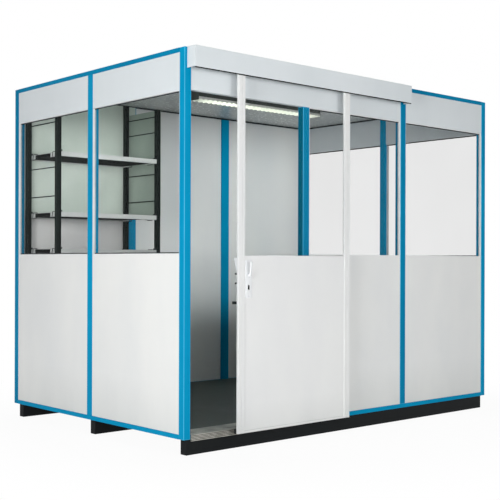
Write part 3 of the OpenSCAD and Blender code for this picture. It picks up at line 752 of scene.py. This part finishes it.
def makeUprights():
    form = bmesh.new()
    slots = bmesh.new()
    for low, high in solidBoxes("shelving_uprights"):
        w = high.x - low.x
        deep = uprightShape["channelDeepMm"] * mm
        a, b = low.x + uprightShape["channelFrom"] * w, low.x + uprightShape["channelTo"] * w
        c = uprightShape["cornerMm"] * mm
        # a channel is rolled into the right half of the front and of the back face
        outline = [
            (low.x, low.y + c), (low.x + c, low.y), (a - c, low.y), (a, low.y + c), (a, low.y + deep),
            (b, low.y + deep), (b, low.y), (high.x - c, low.y), (high.x, low.y + c),
            (high.x, high.y - c), (high.x - c, high.y), (b, high.y), (b, high.y - deep),
            (a, high.y - deep), (a, high.y - c), (a - c, high.y), (low.x + c, high.y), (low.x, high.y - c),
        ]
        addBar(form, outline, lambda u, v, z: (u, v, z), low.z, high.z)
        # the slots for the shelf clips, down the front of the profile, drawn as dark blocks: painted shade in the
        # holes
        count = int((high.z - low.z) / (uprightShape["slotPitchMm"] * mm))
        halfWide = uprightShape["slotWideMm"] * mm / 2
        middle = low.x + uprightShape["slotAt"] * w
        front, back = low.y - uprightShape["slotProudMm"] * mm, low.y + uprightShape["slotDeepMm"] * mm
        for i in range(1, count):
            z = low.z + i * uprightShape["slotPitchMm"] * mm
            top = z + uprightShape["slotTallMm"] * mm
            addBlock(slots, (middle - halfWide, front, z), (middle + halfWide, back, top))
    makePiece("upright_profiles", form, shelvingDark, "cabin", replaced=["shelving_uprights"])
    makePiece("upright_slots", slots, paintedShadeBlack, "cabin")


makeUprights()
print("shelving made")

# Ceiling light: a sheet-metal tray, two tubes and a white louvre
lightShape = {
    "sheetMm": 1.2, "tubeMm": 26.0, "tubeInsetMm": 40.0, "tubeSideMm": 28.0,
    "bladePitchMm": 48.0, "bladeEndMm": 2.0, "bladeTopMm": 3.6, "bladeFootMm": 1.0, "scallopMm": 9.0,
}


def makeLight():
    low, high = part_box("light_housing")
    louvreLow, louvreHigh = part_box("light_louvre")
    t = lightShape["sheetMm"] * mm
    tray = bmesh.new()
    addBlock(tray, (low.x, low.y, high.z - t), high)
    for y in (low.y, high.y - t):
        addBlock(tray, (low.x, y, low.z), (high.x, y + t, high.z - t))
    for x in (low.x, high.x - t):
        addBlock(tray, (x, low.y + t, low.z), (x + t, high.y - t, high.z - t))
    # end caps that close tray and louvre
    for x in (low.x - t, high.x):
        addBlock(tray, (x, low.y, louvreLow.z), (x + t, high.y, high.z))
    # the tray's dark grey is painted shade
    makePiece("light_tray", tray, lampHousingShade, "cabin", replaced=["light_housing"])
    reflector = bmesh.new()
    end = (high.x - 2 * t, high.y - 2 * t, high.z - 2 * t)
    addBlock(reflector, (low.x + 2 * t, low.y + 2 * t, high.z - 3 * t), end)
    for y in (low.y + t, high.y - 2 * t):
        addBlock(reflector, (low.x + 2 * t, y, low.z), (high.x - 2 * t, y + t, high.z - 3 * t))
    makePiece("light_reflector", reflector, louvreWhite, "cabin")
    tubes = bmesh.new()
    inset = lightShape["tubeInsetMm"] * mm
    middle = (low.y + high.y) / 2
    side = lightShape["tubeSideMm"] * mm
    z = (low.z + high.z) / 2
    for y in (middle - side, middle + side):
        addTube(tubes, (low.x + inset, y, z), (high.x - inset, y, z), lightShape["tubeMm"] * mm / 2, 24)
    makePiece("light_tubes", tubes, tubeGlass, "cabin", smooth=True)
    # side rails with a scalloped lower edge, and cross blades at the points of the scallops
    louvre = bmesh.new()
    length = louvreHigh.x - louvreLow.x
    count = round(length / (lightShape["bladePitchMm"] * mm))
    pitch = length / count
    steps = 6
    edge = []
    for i in range(count):
        for k in range(steps):
            s = k / steps
            rise = lightShape["scallopMm"] * mm * math.sin(math.pi * s)
            edge.append((louvreLow.x + (i + s) * pitch, louvreLow.z + rise))
    edge.append((louvreHigh.x, louvreLow.z))
    outline = edge + [(louvreHigh.x, louvreHigh.z), (louvreLow.x, louvreHigh.z)]
    for y in (louvreLow.y, louvreHigh.y - t):
        addBar(louvre, outline, lambda u, v, w: (u, w, v), y, y + t)
    end = lightShape["bladeEndMm"] * mm
    foot, head = lightShape["bladeFootMm"] / 2 * mm, lightShape["bladeTopMm"] / 2 * mm
    for i in range(count + 1):
        x = min(max(louvreLow.x + i * pitch, louvreLow.x + end), louvreHigh.x - end)
        blade = [
            (x - foot, louvreLow.z), (x + foot, louvreLow.z), (x + head, louvreHigh.z), (x - head, louvreHigh.z),
        ]
        addBar(louvre, blade, lambda u, v, w: (u, w, v), louvreLow.y + t, louvreHigh.y - t)
    makePiece("light_grille", louvre, louvreWhite, "cabin", replaced=["light_louvre"])


makeLight()

# Roof sheet: flat underneath, shallow drainage grooves on top
roofShape = {"grooves": 13, "grooveWideMm": 18.0, "grooveDeepMm": 5.0}


def makeRoof():
    low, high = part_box("roof_panel")
    form = bmesh.new()
    wide = roofShape["grooveWideMm"] * mm
    deep = roofShape["grooveDeepMm"] * mm
    outline = [(low.x, low.z), (high.x, low.z), (high.x, high.z)]
    count = roofShape["grooves"]
    for i in range(count, 0, -1):
        x = low.x + i * (high.x - low.x) / (count + 1)
        bottom = high.z - deep
        outline += [(x + wide, high.z), (x + wide / 2, bottom), (x - wide / 2, bottom), (x - wide, high.z)]
    outline.append((low.x, high.z))
    addBar(form, outline, lambda u, v, w: (u, w, v), low.y, high.y)
    piece = makePiece("roof_sheet", form, ceilingShadeWhite, "cabin", replaced=["roof_panel"])
    # only the underside has the ceiling's finish, greyed as painted shade
    piece.data.materials.append(roofGrey)
    for face in piece.data.polygons:
        if face.normal.z > -0.5:
            face.material_index = 1


makeRoof()

# Dark strip under the track cover: painted shade in the gap between cover and header
coverShadeShape = {"hangMm": 7.0, "thickMm": 2.0, "tallMm": 18.0}


def makeCoverShade():
    low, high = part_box("track_cover_front")
    t = coverShadeShape["thickMm"] * mm
    bottom = low.z - coverShadeShape["hangMm"] * mm
    form = bmesh.new()
    end = (high.x - 2 * t, high.y + t, bottom + coverShadeShape["tallMm"] * mm)
    addBlock(form, (low.x + 2 * t, high.y, bottom), end)
    makePiece("cover_gap_shade", form, paintedShadeBlack, "cabin")


makeCoverShade()

# Thin dark strip on the side of the jamb post that the doorway shows: painted shade on that face
revealShape = {"thickMm": 0.8, "insetMm": 5.0}


def makeRevealStrip():
    low, high = min(solidBoxes("front_posts"), key=lambda ends: ends[0].x)
    inset = revealShape["insetMm"] * mm
    form = bmesh.new()
    start = (low.x - revealShape["thickMm"] * mm, low.y + inset, low.z + inset)
    addBlock(form, start, (low.x, high.y - inset, high.z - inset))
    makePiece("jamb_painted_shade_strip", form, blueRevealShade, "cabin")


makeRevealStrip()

# Flat covers clipped over the inner face of the back posts
capShape = {"wideMm": 88.0, "standMm": 1.4, "foldMm": 11.0}


def makePostCaps():
    form = bmesh.new()
    half = capShape["wideMm"] * mm / 2
    t = capShape["standMm"] * mm
    for low, high in solidBoxes("back_posts"):
        middle = (low.x + high.x) / 2
        legs = low.y + capShape["foldMm"] * mm
        outline = [
            (middle - half, low.y - t), (middle + half, low.y - t), (middle + half, legs), (middle + half - t, legs),
            (middle + half - t, low.y), (middle - half + t, low.y), (middle - half + t, legs), (middle - half, legs),
        ]
        addBar(form, outline, lambda u, v, w: (u, v, w), low.z, high.z)
    makePiece("back_post_covers", form, blue, "cabin")


makePostCaps()

# Black strips in the corner between ceiling and walls, painted shade over the top rails' inner edge, and slim white
# seals on the inner side of each pane
sealShape = {
    "ceilingMm": 12.5, "ceilingBackMm": 2.0, "ceilingThickMm": 1.5,
    "paneWideMm": 3.0, "paneDeepMm": 3.0, "darkStripThickMm": 1.5, "darkStripTallMm": 12.0,
}


def wallPanes():
    # each pane with the axes that run along it and through it
    for name in ("left_glass", "right_glass", "front_glass"):
        for low, high in solidBoxes(name):
            across = 1 if high.x - low.x < high.y - low.y else 0
            yield name, low, high, across, 1 - across


def addPaneStrip(form, across, thin, start, end, face, deep):
    # start and end are a distance along the pane and a height
    a, b = [0, 0, start[1]], [0, 0, end[1]]
    a[across], b[across] = start[0], end[0]
    a[thin], b[thin] = face, face + deep
    addBlock(form, a, b)


def makeSeals():
    roofLow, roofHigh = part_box("roof_panel")
    s = sealShape["ceilingMm"] * mm
    back, thick = sealShape["ceilingBackMm"] * mm, sealShape["ceilingThickMm"] * mm
    form = bmesh.new()
    top = roofLow.z
    addBlock(form, (roofLow.x, roofHigh.y - back, top - s), (roofHigh.x, roofHigh.y, top))
    addBlock(form, (roofLow.x, roofLow.y, top - s), (roofHigh.x, roofLow.y + thick, top))
    for x in (roofLow.x, roofHigh.x - thick):
        addBlock(form, (x, roofLow.y + thick, top - s), (x + thick, roofHigh.y - thick, top))
    # black strip over the top rails' inner edge: painted shade
    makePiece("ceiling_shade_strips", form, fittingBlack, "cabin")
    form = bmesh.new()
    wide = sealShape["paneWideMm"] * mm
    deep = sealShape["paneDeepMm"] * mm
    for name, low, high, across, thin in wallPanes():
        inner = high[thin] if name != "right_glass" else low[thin] - deep
        for start, end in (
            ((low[across], low.z), (high[across], low.z + wide)),
            ((low[across], high.z - wide), (high[across], high.z)),
            ((low[across], low.z + wide), (low[across] + wide, high.z - wide)),
            ((high[across] - wide, low.z + wide), (high[across], high.z - wide)),
        ):
            addPaneStrip(form, across, thin, start, end, inner, deep)
    makePiece("pane_seals", form, beadWhite, "cabin", edgeMm=0.6)
    # black strips between pane and bead, above all panes and below the side ones
    form = bmesh.new()
    thick = sealShape["darkStripThickMm"] * mm
    tall = sealShape["darkStripTallMm"] * mm
    for name, low, high, across, thin in wallPanes():
        outer = low[thin] - thick if name != "right_glass" else high[thin]
        for level in [high.z - tall] + ([] if name == "front_glass" else [low.z]):
            addPaneStrip(form, across, thin, (low[across], level), (high[across], level + tall), outer, thick)
    makePiece("pane_dark_strips", form, fittingBlack, "cabin")


makeSeals()
print("seals, roof and light made")

# Floor and light
studio = {
    "floor": "#F6F6F6", "floorHalf": 40.0, "nearWhite": 0.95, "fadeStart": 1.9, "fadeEnd": 3.2, "daylight": 0.14,
    "lamps": {
        "left": {
            "place": (-7.5, -3.0, 1.9), "aim": (-1.6, -0.6, 1.2), "size": 2.2, "power": 268.0, "spread": 180,
        },
        "frontLeft": {
            "place": (-4.3, -6.8, 1.7), "aim": (-1.0, -0.8, 1.2), "size": 2.0, "power": 74.0, "spread": 180,
        },
        "frontRight": {
            "place": (0.1, -8.0, 2.0), "aim": (0.2, -0.8, 1.3), "size": 2.6, "power": 151.0, "spread": 180,
        },
        "rear": {
            "place": (3.5, 6.5, 3.4), "aim": (0.3, 0.6, 1.4), "size": 3.0, "power": 230.0, "spread": 180,
        },
        "inside": {
            "place": (0.47, -0.93, 1.6), "aim": (0.47, 1.0, 1.6), "size": 2.05, "tall": 1.66,
            "power": 2.5, "spread": 18, "colour": "#F6FFFF",
        },
        "top": {"place": (0.0, 0.3, 6.0), "aim": (0.0, 0.3, 2.6), "size": 2.4, "power": 55.0, "spread": 80},
        "shelves": {
            "place": (-1.05, -0.93, 2.0), "aim": (-1.05, 1.0, 2.0), "size": 0.9, "tall": 0.8,
            "power": 0.62, "spread": 18,
        },
    },
}


def seenRay(owner):
    # 1 on a ray that the eye follows straight, in a mirror or through glass
    rays = addNode(owner, "LightPath")
    seen = addNode(owner, "Math", {0: (rays, "Is Camera Ray"), 1: (rays, "Is Glossy Ray")}, operation="MAXIMUM")
    return addNode(owner, "Math", {0: seen, 1: (rays, "Is Transmission Ray")}, operation="MAXIMUM")


def makeStage():
    form = bmesh.new()
    half = studio["floorHalf"]
    corners = ((-half, -half), (half, -half), (half, half), (-half, half))
    form.faces.new([form.verts.new((x, y, 0.0)) for x, y in corners])
    mesh = bpy.data.meshes.new("studio_floor")
    form.to_mesh(mesh)
    form.free()
    floor = bpy.data.objects.new("studio_floor", mesh)
    bpy.context.scene.collection.objects.link(floor)
    mat, place = startMaterial("white_studio_floor")
    # the lit floor keeps the cabin's shadow and fades into the white backdrop further out
    distance = addNode(mat, "VectorMath", {0: place}, operation="LENGTH")
    far = addNode(mat, "MapRange", {
        "Value": (distance, "Value"), "From Min": studio["fadeStart"], "From Max": studio["fadeEnd"],
    }, interpolation_type="SMOOTHSTEP")
    near = addNode(mat, "MapRange", {"Value": far, "To Min": studio["nearWhite"]})
    share = addNode(mat, "Math", {0: near, 1: seenRay(mat)}, operation="MULTIPLY")
    lit = addNode(mat, "BsdfDiffuse", {"Color": toLinear(studio["floor"])})
    white = addNode(mat, "Emission", {"Strength": 1.0})
    shader = addNode(mat, "MixShader", {0: share, 1: lit, 2: white})
    addNode(mat, "OutputMaterial", {"Surface": shader})
    mesh.materials.append(mat)

    world = bpy.data.worlds.new("studio")
    bpy.context.scene.world = world
    world.use_nodes = True
    world.node_tree.nodes.clear()
    soft = addNode(world, "Background", {"Color": toLinear("#FFFFFF"), "Strength": studio["daylight"]})
    white = addNode(world, "Background", {"Color": toLinear("#FFFFFF"), "Strength": 1.0})
    shader = addNode(world, "MixShader", {0: seenRay(world), 1: soft, 2: white})
    addNode(world, "OutputWorld", {"Surface": shader})

    for name, look in studio["lamps"].items():
        data = bpy.data.lights.new(name, "AREA")
        data.shape = "RECTANGLE"
        data.size = look["size"]
        data.size_y = look.get("tall", look["size"])
        data.energy = look["power"]
        data.color = toLinear(look.get("colour", "#FFFFFF"))[:3]
        data.spread = math.radians(look["spread"])
        lamp = bpy.data.objects.new(name, data)
        lamp.visible_camera = False
        lamp.location = look["place"]
        lamp.rotation_euler = (Vector(look["aim"]) - Vector(look["place"])).to_track_quat("-Z", "Y").to_euler()
        bpy.context.scene.collection.objects.link(lamp)


makeStage()

# Camera: level, at a standing person's chest height, a long lens from the front left
cameraSetup = {
    "place": (-5.45888, -5.95379, 1.23564), "yaw": -41.8268, "roll": 0.168, "lens": 70.635, "shiftY": 0.02277,
    "sensor": 36.0, "farEnd": 200.0,
}


def makeCamera():
    data = bpy.data.cameras.new("camera")
    data.sensor_width = cameraSetup["sensor"]
    data.lens = cameraSetup["lens"]
    data.shift_y = cameraSetup["shiftY"]
    data.clip_end = cameraSetup["farEnd"]
    camera = bpy.data.objects.new("camera", data)
    turn = Matrix.Rotation(math.radians(cameraSetup["yaw"]), 4, "Z") @ Matrix.Rotation(math.radians(90), 4, "X")
    roll = Matrix.Rotation(math.radians(cameraSetup["roll"]), 4, "Z")
    camera.matrix_world = Matrix.Translation(cameraSetup["place"]) @ turn @ roll
    bpy.context.scene.collection.objects.link(camera)
    bpy.context.scene.camera = camera


makeCamera()
bpy.context.scene.view_settings.view_transform = "Standard"
print("stage and camera set")
